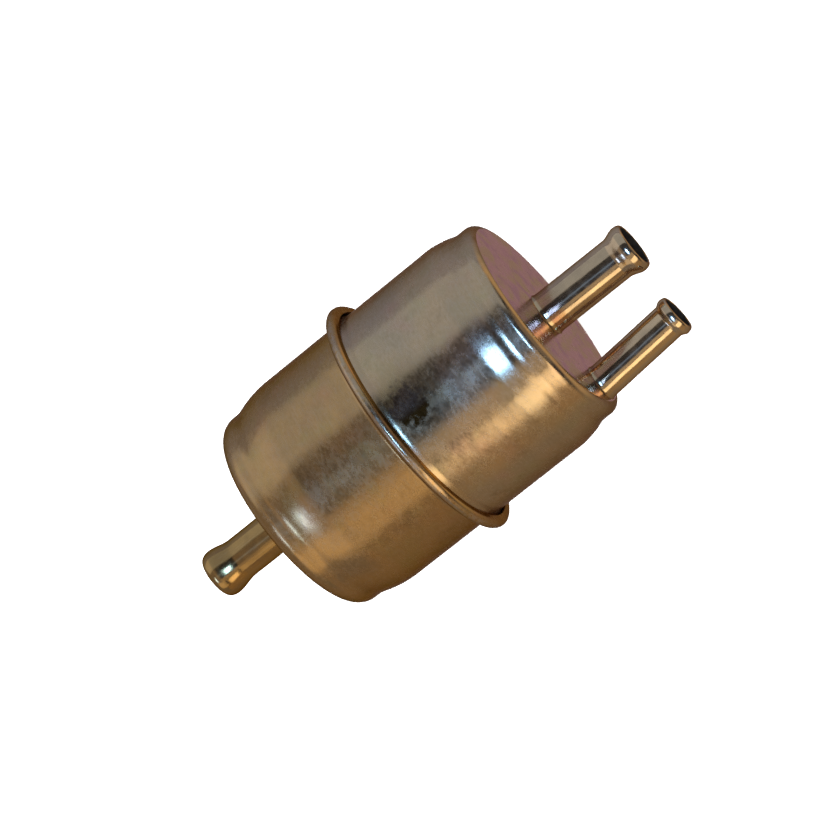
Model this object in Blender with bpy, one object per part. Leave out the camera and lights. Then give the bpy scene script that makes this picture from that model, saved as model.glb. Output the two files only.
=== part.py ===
"""Three-port in-line fuel filter: two drawn steel cups hemmed together around a spring-loaded paper element.

The can's axis is X. +X points to the end with two nipples (outlet on the axis, vapour return beside it),
-X to the single inlet nipple. The origin is on the axis at the seam. All sizes are in metres.
"""

import math

import bmesh
import bpy
from mathutils import Matrix, Vector

MM = 0.001
GAP = 0.3 * MM  # clearance left between pieces that touch on the real filter

# Can
WALL = 0.6 * MM
BODY_R = 26.0 * MM
INLET_END_X = -36.3 * MM
OUTLET_END_X = 34.5 * MM
INLET_BAND_R = 24.4 * MM
OUTLET_BAND_R = 24.55 * MM
INLET_CORNER_R = 3.6 * MM
OUTLET_CORNER_R = 2.2 * MM
INLET_SHOULDER_X = (-31.6 * MM, -29.6 * MM, -22.0 * MM)  # at the band, where the curve turns, at the body
OUTLET_SHOULDER_X = (30.5 * MM, 28.6 * MM, 24.6 * MM)

# Seam: the inlet cup's rim is rolled over the outlet cup's flange
SEAM_R = 29.05 * MM
HEM_X = (-1.9 * MM, 0.5 * MM)
HEM_EDGE_R = 26.9 * MM
INLET_FILLET_R = 1.1 * MM
FLANGE_X = (-1.0 * MM, -0.4 * MM)
OUTLET_FILLET_X = 1.7 * MM
OUTLET_FILLET_TOP_R = 27.0 * MM
SEALANT_FOOT_X = (-1.62 * MM, -0.33 * MM)
SEALANT_TOP_X = (-1.2 * MM, -1.05 * MM)
SEALANT_R = (25.75 * MM, 26.3 * MM)

# Nipples: 3/8 in inlet and outlet, 5/16 in return
MAIN_R = 4.76 * MM
MAIN_BORE_R = 4.0 * MM
MAIN_FLARE_R = 5.6 * MM
RETURN_R = 3.95 * MM
RETURN_BORE_R = 3.3 * MM
RETURN_FLARE_R = 4.55 * MM
TIP_X = 58.1 * MM
RETURN_LENGTH = 22.0 * MM
RETURN_OFFSET = 18.27 * MM
RETURN_LEAN = 0.075
HOLE_REACH = 6.0 * MM  # of the tool that cuts the return hole, either side of the end wall
LIP_FALL = 0.3 * MM  # how much further in than one wall the lip rolls
INLET_FLARE_LENGTH = 5.5 * MM
OUTLET_FLARE_LENGTH = 4.3 * MM
MAIN_LIP = 1.6 * MM
RETURN_FLARE_LENGTH = 1.5 * MM
RETURN_LIP = 1.4 * MM
TIP_FLAT = 0.4 * MM
INLET_ROOT = 1.8 * MM  # length of each nipple inside its end wall
RETURN_ROOT = 2.2 * MM
BRAZE_WIDTH = 0.5 * MM
ORIFICE_R = 0.8 * MM
ORIFICE_MOUTH_R = 1.6 * MM
ORIFICE_X = (-2.0 * MM, -0.4 * MM, 0.4 * MM)  # inner face, end of the narrow hole, outer face

# Element: everything inside that floats on the spring
MEDIA_X = (-22.5 * MM, 25.0 * MM)
MEDIA_R = (8.5 * MM, 19.4 * MM)
PLEATS = 32
PAPER = 0.55 * MM
CAP_R = 20.6 * MM
CAP_WALL = 0.6 * MM
CAP_RIM = 5.2 * MM
POTTING = 1.5 * MM
TUBE_R = (7.4 * MM, 7.9 * MM)
TUBE_HOLE_R = 1.8 * MM
TUBE_HOLE_ROWS = 5
TUBE_HOLES_ACROSS = 3
TUBE_HOLE_STEPS = 8
TUBE_HOLE_TURN = math.radians(7.5)  # keeps the holes' corners off the tube's own edges
CLIP_FOOT_R = 16.5 * MM
CLIP_HALF_GAP = 1.05 * MM
CLIP_WALL = 0.4 * MM
CLIP_SETBACK = (2.6 * MM, 3.2 * MM)  # from the paper's two ends
COLLAR_R = (8.4 * MM, 9.0 * MM)
COLLAR_END_X = 31.5 * MM
GROMMET_FLANGE_R = 9.9 * MM
GROMMET_FLANGE = 1.65 * MM
SPIGOT_TIP_X = 28.6 * MM

# Spring and its seat
SPRING_R = 9.5 * MM
WIRE_R = 0.65 * MM
SPRING_TURNS = 4.5
COIL_GAP = 0.15 * MM  # between the closed turn at each end and the next
POINTS_PER_TURN = 12
SEAT_R = (5.4 * MM, 11.0 * MM)
SEAT_LIP_R = (7.4 * MM, 8.0 * MM)
SEAT_LIP = 1.4 * MM
BOSS_R = 8.0 * MM
BOSS = 1.5 * MM
BOSS_TAPER = 0.8 * MM

CAN_STEPS = 36
CAP_STEPS = 28
TUBE_STEPS = 20

# name: (colour, metallic, roughness)
FINISHES = {
    "gold_zinc": ((0.40, 0.29, 0.16, 1), 1.0, 0.35),
    "gold_zinc_tube": ((0.45, 0.33, 0.17, 1), 1.0, 0.22),
    "braze": ((0.62, 0.45, 0.22, 1), 1.0, 0.40),
    "bare_steel": ((0.55, 0.55, 0.55, 1), 1.0, 0.35),
    "spring_steel": ((0.30, 0.31, 0.33, 1), 1.0, 0.30),
    "orifice_brass": ((0.70, 0.52, 0.22, 1), 1.0, 0.30),
    "filter_paper": ((0.78, 0.68, 0.46, 1), 0.0, 0.90),
    "plastisol": ((0.62, 0.13, 0.08, 1), 0.0, 0.55),
    "nitrile": ((0.03, 0.03, 0.03, 1), 0.0, 0.60),
    "sealant": ((0.20, 0.20, 0.22, 1), 0.0, 0.70),
}


def clear_scene():
    for obj in list(bpy.data.objects):
        bpy.data.objects.remove(obj, do_unlink=True)


def finish(name):
    """The Principled material of this finish, made on first use."""
    if name in bpy.data.materials:
        return bpy.data.materials[name]
    colour, metallic, roughness = FINISHES[name]
    material = bpy.data.materials.new(name)
    material.use_nodes = True
    shader = material.node_tree.nodes["Principled BSDF"]
    shader.inputs["Base Color"].default_value = colour
    shader.inputs["Metallic"].default_value = metallic
    shader.inputs["Roughness"].default_value = roughness
    return material


def add_object(name, bm, finish_name, smooth=True):
    """Turns a bmesh into a named object whose faces point out."""
    bmesh.ops.recalc_face_normals(bm, faces=bm.faces)
    mesh = bpy.data.meshes.new(name)
    bm.to_mesh(mesh)
    bm.free()
    if smooth:
        mesh.shade_smooth()
        mesh.set_sharp_from_angle(angle=math.radians(35))
    obj = bpy.data.objects.new(name, mesh)
    if finish_name:
        mesh.materials.append(finish(finish_name))
    bpy.context.scene.collection.objects.link(obj)
    return obj


def arc(x, r, radius, start, end, steps, squash=1.0):
    """Points (x, r) of an arc about a centre, from start to end degrees. squash scales it along r."""
    points = []
    for i in range(steps + 1):
        angle = math.radians(start + (end - start) * i / steps)
        points.append((x + radius * math.cos(angle), r + squash * radius * math.sin(angle)))
    return points


def shoulder(places, band_r, body_r, steps=6):
    """The step from an end band up to the body: a short hollow curve, then a long crowned one."""
    band_x, turn_x, body_x = places
    hollow, crown = abs(turn_x - band_x), abs(body_x - turn_x)
    slope = 2 * (body_r - band_r) / (hollow + crown)
    points = []
    for i in range(steps + 1):
        x = band_x + (body_x - band_x) * i / steps
        if abs(x - band_x) < hollow:
            r = band_r + slope * (x - band_x) ** 2 / (2 * hollow)
        else:
            r = body_r - slope * (x - body_x) ** 2 / (2 * crown)
        points.append((x, r))
    return points


def turned(name, outline, finish_name, steps=TUBE_STEPS):
    """Spins a closed outline of (x, r) points about the X axis."""
    bm = bmesh.new()
    verts = [bm.verts.new((x, 0, r)) for x, r in outline]
    edges = [bm.edges.new((a, b)) for a, b in zip(verts, verts[1:])]
    if min(r for _, r in outline) > 0:
        edges.append(bm.edges.new((verts[-1], verts[0])))
    bmesh.ops.spin(
        bm, geom=verts + edges, cent=(0, 0, 0), axis=(1, 0, 0), angle=2 * math.pi, steps=steps
    )
    bmesh.ops.remove_doubles(bm, verts=bm.verts, dist=1e-7)
    return add_object(name, bm, finish_name)


def cutter(name, bm):
    obj = add_object(name, bm, None)
    obj.hide_render = True
    obj.display_type = "WIRE"
    return obj


def cut(obj, tool):
    modifier = obj.modifiers.new(tool.name, "BOOLEAN")
    modifier.operation = "DIFFERENCE"
    modifier.solver = "EXACT"
    modifier.object = tool


def rod_bmesh(radius, start, end, segments):
    """A closed cylinder between two points."""
    start, end = Vector(start), Vector(end)
    bm = bmesh.new()
    turn = (end - start).to_track_quat("Z", "Y").to_matrix().to_4x4()
    bmesh.ops.create_cone(
        bm,
        cap_ends=True,
        segments=segments,
        radius1=radius,
        radius2=radius,
        depth=(end - start).length,
        matrix=Matrix.Translation((start + end) / 2) @ turn,
    )
    return bm


def return_frame():
    """Puts the return nipple's own X axis on its leaning place in the end wall."""
    empty = bpy.data.objects.new("return_port_frame", None)
    empty.location = (OUTLET_END_X, -RETURN_OFFSET, 0)
    empty.rotation_euler = (0, 0, math.atan(RETURN_LEAN))
    bpy.context.scene.collection.objects.link(empty)
    return empty


def inlet_shell():
    """The inlet cup, whose rim flares out and rolls over the other cup's flange."""
    hole = MAIN_R + GAP
    band, corner, end = INLET_BAND_R, INLET_CORNER_R, INLET_END_X
    hem_mid = (HEM_X[0] + HEM_X[1]) / 2
    hem_r = (HEM_X[1] - HEM_X[0]) / 2
    hem_centre_r = SEAM_R - hem_r
    fillet_x = HEM_X[0] - INLET_FILLET_R
    fillet_r = BODY_R + INLET_FILLET_R
    outside = [(end, hole)]
    outside += arc(end + corner, band - corner, corner, 180, 90, 4)
    outside += shoulder(INLET_SHOULDER_X, band, BODY_R)
    outside += arc(fillet_x, fillet_r, INLET_FILLET_R, -90, 0, 3)
    outside += arc(hem_mid, hem_centre_r, hem_r, 180, 0, 6)
    outside += [(HEM_X[1], HEM_EDGE_R)]
    inside = [(end + WALL, hole)]
    inside += arc(end + corner, band - corner, corner - WALL, 180, 90, 3)
    inside += shoulder(INLET_SHOULDER_X, band - WALL, BODY_R - WALL)
    inside += arc(fillet_x, fillet_r, INLET_FILLET_R + WALL, -90, 0, 3)
    inside += arc(hem_mid, hem_centre_r, hem_r - WALL, 180, 0, 4)
    inside += [(HEM_X[1] - WALL, HEM_EDGE_R)]
    return turned("inlet_shell", outside + inside[::-1], "gold_zinc", CAN_STEPS)


def outlet_shell(return_tool):
    """The outlet cup: its flange stands inside the hem, and its end wall holds two nipples."""
    hole = MAIN_R + GAP
    band, corner, end = OUTLET_BAND_R, OUTLET_CORNER_R, OUTLET_END_X
    hem_r = (HEM_X[1] - HEM_X[0]) / 2
    flange_top = SEAM_R - hem_r
    reach = OUTLET_FILLET_X - FLANGE_X[1]
    rise = OUTLET_FILLET_TOP_R - BODY_R
    outside = [(end, hole)]
    outside += arc(end - corner, band - corner, corner, 0, 90, 4)
    outside += shoulder(OUTLET_SHOULDER_X, band, BODY_R)
    outside += arc(OUTLET_FILLET_X, OUTLET_FILLET_TOP_R, reach, 270, 180, 4, rise / reach)
    outside += [(FLANGE_X[1], flange_top)]
    reach += WALL
    rise += WALL
    inside = [(end - WALL, hole)]
    inside += arc(end - corner, band - corner, corner - WALL, 0, 90, 3)
    inside += shoulder(OUTLET_SHOULDER_X, band - WALL, BODY_R - WALL)
    inside += arc(OUTLET_FILLET_X, OUTLET_FILLET_TOP_R, reach, 270, 180, 4, rise / reach)
    inside += [(FLANGE_X[0], flange_top)]
    shell = turned("outlet_shell", outside + inside[::-1], "gold_zinc", CAN_STEPS)
    cut(shell, return_tool)
    return shell


def seam_sealant():
    """The bead of compound in the crevice inside the seam."""
    low, high = SEALANT_R
    outline = [
        (SEALANT_FOOT_X[0], low),
        (SEALANT_FOOT_X[1], low),
        (SEALANT_TOP_X[1], high),
        (SEALANT_TOP_X[0], high),
    ]
    return turned("seam_sealant", outline, "sealant", CAN_STEPS)


def nipple_outline(start, tip, radius, bore, flare, flare_length, lip):
    """A tube from start to tip along +X whose end is flared and rounded over to a narrow flat ring."""
    lip_start = tip - lip
    swell = lip_start - flare_length
    mouth = flare - (radius - bore) - LIP_FALL
    ring = mouth + TIP_FLAT
    outside = [(start, radius)]
    for i in range(5):
        t = i / 4
        ease = t * t * (3 - 2 * t)
        outside.append((swell + flare_length * t, radius + (flare - radius) * ease))
    outside += arc(lip_start, ring, lip, 90, 0, 4, (flare - ring) / lip)[1:]
    outside += [(tip, mouth)]
    bore_side = [(swell + lip, bore), (start, bore)]
    return outside + bore_side


def mirrored(outline):
    return [(-x, r) for x, r in outline]


def main_nipples():
    """The inlet nipple, and the outlet nipple whose inner end is the spigot that the element sits on."""
    root = -INLET_END_X - WALL - INLET_ROOT
    tube = (MAIN_R, MAIN_BORE_R, MAIN_FLARE_R)
    inlet = nipple_outline(root, TIP_X, *tube, INLET_FLARE_LENGTH, MAIN_LIP)
    turned("inlet_nipple", mirrored(inlet), "gold_zinc_tube")
    outlet = nipple_outline(SPIGOT_TIP_X, TIP_X, *tube, OUTLET_FLARE_LENGTH, MAIN_LIP)
    turned("outlet_nipple", outlet, "gold_zinc_tube")


def return_nipple(frame):
    tube = (RETURN_R, RETURN_BORE_R, RETURN_FLARE_R)
    outline = nipple_outline(-RETURN_ROOT, RETURN_LENGTH, *tube, RETURN_FLARE_LENGTH, RETURN_LIP)
    turned("return_nipple", outline, "gold_zinc_tube").parent = frame


def return_orifice(frame):
    """The restrictor pressed into the return nipple's inner end."""
    outer = RETURN_BORE_R - GAP
    inner_x, neck_x, mouth_x = ORIFICE_X
    outline = [
        (inner_x, ORIFICE_R),
        (inner_x, outer),
        (mouth_x, outer),
        (mouth_x, ORIFICE_MOUTH_R),
        (neck_x, ORIFICE_R),
    ]
    turned("return_orifice", outline, "orifice_brass").parent = frame


def braze_outline(base, radius):
    """A fillet of filler metal round a nipple where it leaves the end wall."""
    inner = radius + GAP
    return [
        (base, inner),
        (base, inner + BRAZE_WIDTH),
        (base + 0.3 * BRAZE_WIDTH, inner + 0.4 * BRAZE_WIDTH),
        (base + BRAZE_WIDTH, inner),
    ]


def braze_rings(frame):
    outlet = braze_outline(OUTLET_END_X + GAP, MAIN_R)
    turned("outlet_nipple_braze", outlet, "braze")
    inlet = braze_outline(-INLET_END_X + GAP, MAIN_R)
    turned("inlet_nipple_braze", mirrored(inlet), "braze")
    lean_rise = (RETURN_R + GAP + BRAZE_WIDTH) * RETURN_LEAN
    ring = turned("return_nipple_braze", braze_outline(GAP + lean_rise, RETURN_R), "braze")
    ring.parent = frame


def pleat_points(angle, radius, half_width):
    """Two points across a fold, half_width either side of the ray at this angle."""
    half_angle = half_width / radius
    return [
        (radius * math.cos(angle + side * half_angle), radius * math.sin(angle + side * half_angle))
        for side in (-1, 1)
    ]


def pleated_media():
    """A star-shaped sleeve of folded paper."""
    inner_r, outer_r = MEDIA_R
    wide, narrow = 0.9 * PAPER, 0.35 * PAPER
    outside, inside = [], []
    for pleat in range(PLEATS):
        fold = 2 * math.pi * pleat / PLEATS
        valley = fold + math.pi / PLEATS
        outside += pleat_points(fold, outer_r, wide) + pleat_points(valley, inner_r + PAPER, narrow)
        inside += pleat_points(fold, outer_r - PAPER, narrow) + pleat_points(valley, inner_r, wide)
    bm = bmesh.new()
    rings = []
    for x in MEDIA_X:
        for outline in (outside, inside):
            rings.append([bm.verts.new((x, y, z)) for y, z in outline])
    out_a, in_a, out_b, in_b = rings
    count = len(outside)
    for one, other in ((out_a, out_b), (in_a, in_b), (out_a, in_a), (out_b, in_b)):
        for i in range(count):
            j = (i + 1) % count
            bm.faces.new((one[i], one[j], other[j], other[i]))
    return add_object("pleated_media", bm, "filter_paper", smooth=False)


def media_seam_clip():
    """The channel crimped over the fold where the paper's two ends meet."""
    inner, wall = CLIP_HALF_GAP, CLIP_WALL
    low, high = CLIP_FOOT_R, MEDIA_R[1] + GAP
    section = [
        (low, inner),
        (high, inner),
        (high, -inner),
        (low, -inner),
        (low, -inner - wall),
        (high + wall, -inner - wall),
        (high + wall, inner + wall),
        (low, inner + wall),
    ]
    x_low = MEDIA_X[0] + CLIP_SETBACK[0]
    x_high = MEDIA_X[1] - CLIP_SETBACK[1]
    bm = bmesh.new()
    ends = [[bm.verts.new((x, y, z)) for y, z in section] for x in (x_low, x_high)]
    for i in range(len(section)):
        j = (i + 1) % len(section)
        bm.faces.new((ends[0][i], ends[0][j], ends[1][j], ends[1][i]))
    for end in ends:
        bm.faces.new(end)
    return add_object("media_seam_clip", bm, "bare_steel", smooth=False)


def centre_tube():
    """The perforated core that keeps the paper from folding inwards."""
    low, high = TUBE_R
    start, end = MEDIA_X
    tube = turned("centre_tube", [(start, low), (start, high), (end, high), (end, low)], "bare_steel")
    bm = bmesh.new()
    pitch = (end - start) / TUBE_HOLE_ROWS
    drill = (low - GAP, high + GAP)
    for row in range(TUBE_HOLE_ROWS):
        x = start + pitch * (row + 0.5)
        for across in range(TUBE_HOLES_ACROSS):
            angle = math.pi * (across + 0.5 * (row % 2)) / TUBE_HOLES_ACROSS + TUBE_HOLE_TURN
            across_tube = Vector((0, math.cos(angle), math.sin(angle)))
            centre = Vector((x, 0, 0))
            for side in (-1, 1):
                near, far = (centre + side * across_tube * reach for reach in drill)
                rod = rod_bmesh(TUBE_HOLE_R, near, far, TUBE_HOLE_STEPS)
                piece = bpy.data.meshes.new("hole")
                rod.to_mesh(piece)
                rod.free()
                bm.from_mesh(piece)
                bpy.data.meshes.remove(piece)
    cut(tube, cutter("centre_tube_holes", bm))
    return tube


def inlet_end_cap():
    """The closed cap: a dished cup with a pressed boss that centres the spring."""
    base = MEDIA_X[0] - GAP - POTTING - GAP
    top = base - CAP_WALL
    rim_end = top + CAP_RIM
    outline = [
        (top - BOSS, 0),
        (top - BOSS, BOSS_R - BOSS_TAPER),
        (top, BOSS_R),
        (top, CAP_R - CAP_WALL),
        (top + CAP_WALL, CAP_R),
        (rim_end, CAP_R),
        (rim_end, CAP_R - CAP_WALL),
        (base, CAP_R - CAP_WALL),
        (base, BOSS_R - CAP_WALL / 2),
        (base - BOSS, BOSS_R - BOSS_TAPER - CAP_WALL / 2),
        (base - BOSS, 0),
    ]
    return turned("inlet_end_cap", outline, "bare_steel", CAP_STEPS)


def outlet_end_cap():
    """The open cap, with a collar that holds the grommet."""
    base = MEDIA_X[1] + GAP + POTTING + GAP
    top = base + CAP_WALL
    outline = [
        (base, TUBE_R[0]),
        (top, TUBE_R[0]),
        (top, COLLAR_R[0]),
        (COLLAR_END_X, COLLAR_R[0]),
        (COLLAR_END_X, COLLAR_R[1]),
        (top, COLLAR_R[1]),
        (top, CAP_R - CAP_WALL),
        (base, CAP_R),
        (top - CAP_RIM, CAP_R),
        (top - CAP_RIM, CAP_R - CAP_WALL),
        (base, CAP_R - CAP_WALL),
    ]
    return turned("outlet_end_cap", outline, "bare_steel", CAP_STEPS)


def potting_discs():
    """The cured plastisol that bonds the pleats' ends into each cap. The inlet one is unbroken."""
    outer = CAP_R - CAP_WALL - GAP
    near = MEDIA_X[1] + GAP
    far = near + POTTING
    outline = [(near, TUBE_R[0]), (near, outer), (far, outer), (far, TUBE_R[0])]
    turned("outlet_potting", outline, "plastisol", CAP_STEPS)
    near = MEDIA_X[0] - GAP
    far = near - POTTING
    turned("inlet_potting", [(near, 0), (near, outer), (far, outer), (far, 0)], "plastisol", CAP_STEPS)


def outlet_grommet():
    """The rubber seal between the element's collar and the outlet spigot. Its flange meets the end wall."""
    inner = MAIN_R + GAP
    start = MEDIA_X[1] + GAP + POTTING + GAP + CAP_WALL + GAP
    end = OUTLET_END_X - WALL - GAP
    outline = [
        (start, inner),
        (start, COLLAR_R[0] - GAP),
        (end - GROMMET_FLANGE, COLLAR_R[0] - GAP),
        (end - GROMMET_FLANGE, GROMMET_FLANGE_R),
        (end, GROMMET_FLANGE_R),
        (end, inner),
    ]
    return turned("outlet_grommet", outline, "nitrile")


def spring_seat():
    """The washer under the spring, with a drawn lip that keeps the first coil centred."""
    start = INLET_END_X + WALL + GAP
    top = start + CAP_WALL
    outline = [
        (start, SEAT_R[0]),
        (start, SEAT_R[1]),
        (top, SEAT_R[1]),
        (top, SEAT_LIP_R[1]),
        (top + SEAT_LIP, SEAT_LIP_R[1]),
        (top + SEAT_LIP, SEAT_LIP_R[0]),
        (top, SEAT_LIP_R[0]),
        (top, SEAT_R[0]),
    ]
    return turned("spring_seat", outline, "bare_steel")


def element_spring():
    """A compression spring with one closed turn at each end, from its seat to the inlet cap."""
    start = INLET_END_X + WALL + GAP + CAP_WALL + GAP + WIRE_R
    end = MEDIA_X[0] - GAP - POTTING - GAP - CAP_WALL - GAP - WIRE_R
    closed_rise = 2 * WIRE_R + COIL_GAP
    total = round(SPRING_TURNS * POINTS_PER_TURN)
    active = SPRING_TURNS - 2
    curve = bpy.data.curves.new("element_spring", "CURVE")
    curve.dimensions = "3D"
    curve.bevel_depth = WIRE_R
    curve.bevel_resolution = 2
    curve.use_fill_caps = True
    spline = curve.splines.new("POLY")
    spline.points.add(total)
    for i in range(total + 1):
        turn = SPRING_TURNS * i / total
        if turn <= 1:
            x = start + closed_rise * turn
        elif turn >= 1 + active:
            x = end - closed_rise * (SPRING_TURNS - turn)
        else:
            x = start + closed_rise + (end - start - 2 * closed_rise) * (turn - 1) / active
        angle = 2 * math.pi * turn
        spline.points[i].co = (x, SPRING_R * math.cos(angle), SPRING_R * math.sin(angle), 1)
    curve.materials.append(finish("spring_steel"))
    obj = bpy.data.objects.new("element_spring", curve)
    bpy.context.scene.collection.objects.link(obj)
    return obj


def main():
    clear_scene()
    frame = return_frame()
    drill = rod_bmesh(RETURN_R + GAP, (-HOLE_REACH, 0, 0), (HOLE_REACH, 0, 0), TUBE_STEPS)
    return_tool = cutter("return_hole", drill)
    return_tool.parent = frame
    inlet_shell()
    outlet_shell(return_tool)
    seam_sealant()
    main_nipples()
    return_nipple(frame)
    return_orifice(frame)
    braze_rings(frame)
    pleated_media()
    media_seam_clip()
    centre_tube()
    inlet_end_cap()
    outlet_end_cap()
    potting_discs()
    outlet_grommet()
    spring_seat()
    element_spring()


main()
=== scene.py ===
"""Looks of the three-port fuel filter.

The outside pieces are turned again with fine profiles and plated with a procedural yellow chromate, and the
inside pieces get fine shapes and their own materials. The can's axis is X, and +X points to the two nipples.
"""

import math

import bmesh
import bpy
from mathutils import Matrix, Vector

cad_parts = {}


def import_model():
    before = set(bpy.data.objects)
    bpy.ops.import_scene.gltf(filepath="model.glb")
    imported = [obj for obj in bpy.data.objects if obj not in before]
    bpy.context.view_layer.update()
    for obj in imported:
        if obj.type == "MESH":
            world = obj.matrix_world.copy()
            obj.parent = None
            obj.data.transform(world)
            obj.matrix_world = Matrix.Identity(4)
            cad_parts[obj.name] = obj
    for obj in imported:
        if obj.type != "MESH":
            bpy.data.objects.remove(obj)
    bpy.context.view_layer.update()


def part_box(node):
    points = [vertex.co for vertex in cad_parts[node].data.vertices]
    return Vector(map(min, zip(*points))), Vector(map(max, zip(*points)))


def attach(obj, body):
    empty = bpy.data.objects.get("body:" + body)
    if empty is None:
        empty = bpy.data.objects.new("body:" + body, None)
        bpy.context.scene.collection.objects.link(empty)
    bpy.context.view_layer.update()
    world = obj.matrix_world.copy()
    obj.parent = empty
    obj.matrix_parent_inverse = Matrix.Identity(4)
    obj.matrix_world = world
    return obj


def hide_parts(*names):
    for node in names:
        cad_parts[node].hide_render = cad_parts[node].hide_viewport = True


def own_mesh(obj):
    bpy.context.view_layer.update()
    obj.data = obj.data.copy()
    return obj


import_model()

MM = 0.001
FINE = 192  # segments round the can
TUBE_FINE = 96  # segments round a nipple

# Driving sizes that no box of a node gives
WALL = 0.6 * MM
GAP = 0.3 * MM
BODY_R = 26.0 * MM
INLET_BAND_R = 24.4 * MM
OUTLET_BAND_R = 24.55 * MM
INLET_CORNER_R = 3.6 * MM
OUTLET_CORNER_R = 2.2 * MM
HEM_EDGE_R = 26.9 * MM
INLET_FILLET_R = 1.1 * MM
FLANGE_FRONT_X = -0.4 * MM
HEM_START_X = -1.9 * MM
OUTLET_FILLET_X = 1.7 * MM
OUTLET_FILLET_TOP_R = 27.0 * MM
INLET_SHOULDER_X = (-31.6 * MM, -29.6 * MM, -22.0 * MM)  # end band, turn of the curve, body
OUTLET_SHOULDER = (  # places along the can, and the slope there
    (30.6 * MM, 0.0),
    (29.6 * MM, 0.17),
    (28.6 * MM, 0.35),
    (27.4 * MM, 0.175),
    (24.8 * MM, 0.135),
    (23.0 * MM, 0.0),
)
MAIN_R = 4.76 * MM
MAIN_BORE_R = 4.0 * MM
RETURN_R = 3.95 * MM
RETURN_BORE_R = 3.3 * MM
RETURN_OFFSET = 18.27 * MM
RETURN_LEAN = 0.075
RETURN_LENGTH = 22.0 * MM
RETURN_FLARE_R = 4.55 * MM
TIP_FLAT = 0.4 * MM
TUBE_CLEARANCE = 0.1 * MM  # round each tube, in its hole
INLET_FLARE = (5.2 * MM, 2.1 * MM, 0.7 * MM)  # length of the swell, of the lip, and how far the lip falls
OUTLET_FLARE = (3.2 * MM, 1.6 * MM, 0.3 * MM)
RETURN_FLARE = (1.5 * MM, 1.4 * MM, 0.3 * MM)
RETURN_ROOT = -2.2 * MM  # the return nipple's inner end, from the end wall
JET_X = (-2.0 * MM, -0.4 * MM, 0.4 * MM)  # inner end, start of the wide mouth, outer end
CAP_WALL = 0.6 * MM
CORE_BORE_R = 7.4 * MM
COLLAR_R = 8.4 * MM
SEALANT_BORE_R = 25.75 * MM
PLEATS = 32
PAPER = 0.55 * MM
WIRE_R = 0.65 * MM
SPRING_TURNS = 4.5
POINTS_PER_TURN = 48
SMUDGE_X, SMUDGE_Y = 5.6 * MM, 2.6 * MM
SMUDGE_LENGTH, SMUDGE_WIDTH = 5.0 * MM, 5.0 * MM
RUBBED_DEPTH = 0.35 * MM  # of the seam's rubbed edge

# Places along the can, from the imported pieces
INLET_END_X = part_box("inlet_shell")[0].x
OUTLET_END_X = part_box("outlet_shell")[1].x
SEAM_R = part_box("inlet_shell")[1].z
HEM_END_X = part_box("inlet_shell")[1].x
TIP_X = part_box("outlet_nipple")[1].x
SPIGOT_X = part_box("outlet_nipple")[0].x
INLET_ROOT_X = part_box("inlet_nipple")[1].x
MAIN_FLARE_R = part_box("outlet_nipple")[1].z


# ---------------------------------------------------------------- shapes


def arc(x, r, radius, start, end, steps, squash=1.0):
    """Points (x, r) of an arc about a centre, from start to end degrees. squash scales it along r."""
    points = []
    for i in range(steps + 1):
        angle = math.radians(start + (end - start) * i / steps)
        points.append((x + radius * math.cos(angle), r + squash * radius * math.sin(angle)))
    return points


def shoulder(band_x, turn_x, body_x, band_r, steps=28):
    """Points from the band up to the body: a short hollow curve at the band, then a long crowned one."""
    hollow, crown = abs(turn_x - band_x), abs(body_x - turn_x)
    slope = 2 * (BODY_R - band_r) / (hollow + crown)
    points = []
    for i in range(steps + 1):
        x = band_x + (body_x - band_x) * i / steps
        if abs(x - band_x) < hollow:
            r = band_r + slope * (x - band_x) ** 2 / (2 * hollow)
        else:
            r = BODY_R - slope * (x - body_x) ** 2 / (2 * crown)
        points.append((x, r))
    return points


def stepped_shoulder(slopes, end_r, steps=14):
    """Points from the band up to the body, whose slope runs smoothly through (x, slope) pairs."""
    points = [(slopes[0][0], 0.0)]
    for (x_a, slope_a), (x_b, slope_b) in zip(slopes, slopes[1:]):
        for i in range(steps):
            t = (i + 0.5) / steps
            slope = slope_a + (slope_b - slope_a) * t * t * (3 - 2 * t)
            step = (x_b - x_a) / steps
            points.append((points[-1][0] + step, points[-1][1] + slope * abs(step)))
    rise = points[-1][1]
    return [(x, end_r + (BODY_R - end_r) * r / rise) for x, r in points]


def sheet_outline(outside, wall, side=1):
    """Closes a sheet-metal outline: the outside, then the same line set in by the wall."""
    inside = []
    for i, (x, r) in enumerate(outside):
        before = outside[max(i - 1, 0)]
        after = outside[min(i + 1, len(outside) - 1)]
        dx, dr = after[0] - before[0], after[1] - before[1]
        length = math.hypot(dx, dr)
        inside.append((x + side * wall * dr / length, r - side * wall * dx / length))
    return outside + inside[::-1]


def add_mesh(name, verts, faces, materials, sharp=40, indices=None):
    """A smooth-shaded mesh object. indices gives each face's material."""
    mesh = bpy.data.meshes.new(name)
    mesh.from_pydata(verts, [], faces)
    if indices:
        mesh.polygons.foreach_set("material_index", indices)
    bm = bmesh.new()
    bm.from_mesh(mesh)
    bmesh.ops.remove_doubles(bm, verts=bm.verts, dist=1e-7)
    bmesh.ops.recalc_face_normals(bm, faces=bm.faces)
    bm.to_mesh(mesh)
    bm.free()
    for material in materials:
        mesh.materials.append(material)
    mesh.shade_smooth()
    mesh.set_sharp_from_angle(angle=math.radians(sharp))
    obj = bpy.data.objects.new(name, mesh)
    bpy.context.scene.collection.objects.link(obj)
    return obj


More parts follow.
